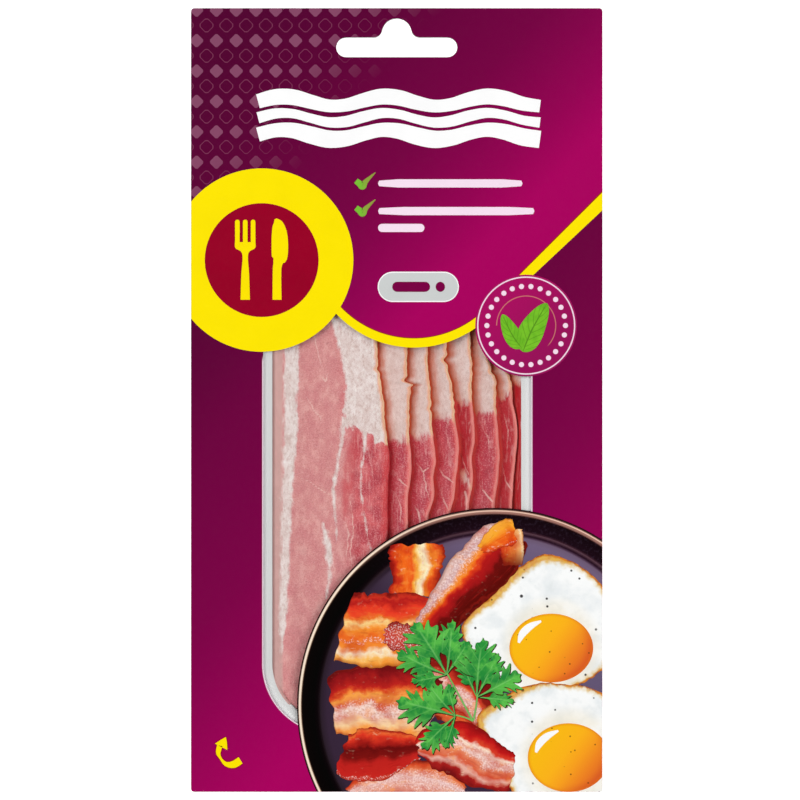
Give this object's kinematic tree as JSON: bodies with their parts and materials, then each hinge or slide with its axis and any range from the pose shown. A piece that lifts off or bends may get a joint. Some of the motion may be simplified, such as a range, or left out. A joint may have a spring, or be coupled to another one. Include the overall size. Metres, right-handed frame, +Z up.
{
  "type": "bacon pack",
  "caption": "Flat vacuum pack of sliced smoked bacon with a hanging slot, a printed front sheet and a clear shaped window over shingled slices in a shallow formed pocket.",
  "frame": {"origin": "middle of the footprint on the surface that the pack lies on, at the level of the pocket's floor", "axes": "+Z up out of the printed front, +Y along the length towards the hanging slot, +X across to the right as the front is seen"},
  "size_m": [0.11, 0.2094, 0.0161],
  "materials": {
    "back_web": "satin pale grey formed plastic web",
    "clear_film": "thin clear glossy film",
    "printed_sheet": "glossy purple and magenta print with plain colour fields",
    "bacon": "moist raw smoked bacon: pink lean, off-white fat, golden edge; stands in for food"
  },
  "bodies": {
    "root": {"back_web": "back_web", "clear_film": "clear_film", "printed_sheet": "printed_sheet", "slice_1": "bacon", "slice_2": "bacon", "slice_3": "bacon", "slice_4": "bacon", "slice_5": "bacon", "slice_6": "bacon", "slice_7": "bacon", "slice_8": "bacon"}
  },
  "joints": []
}
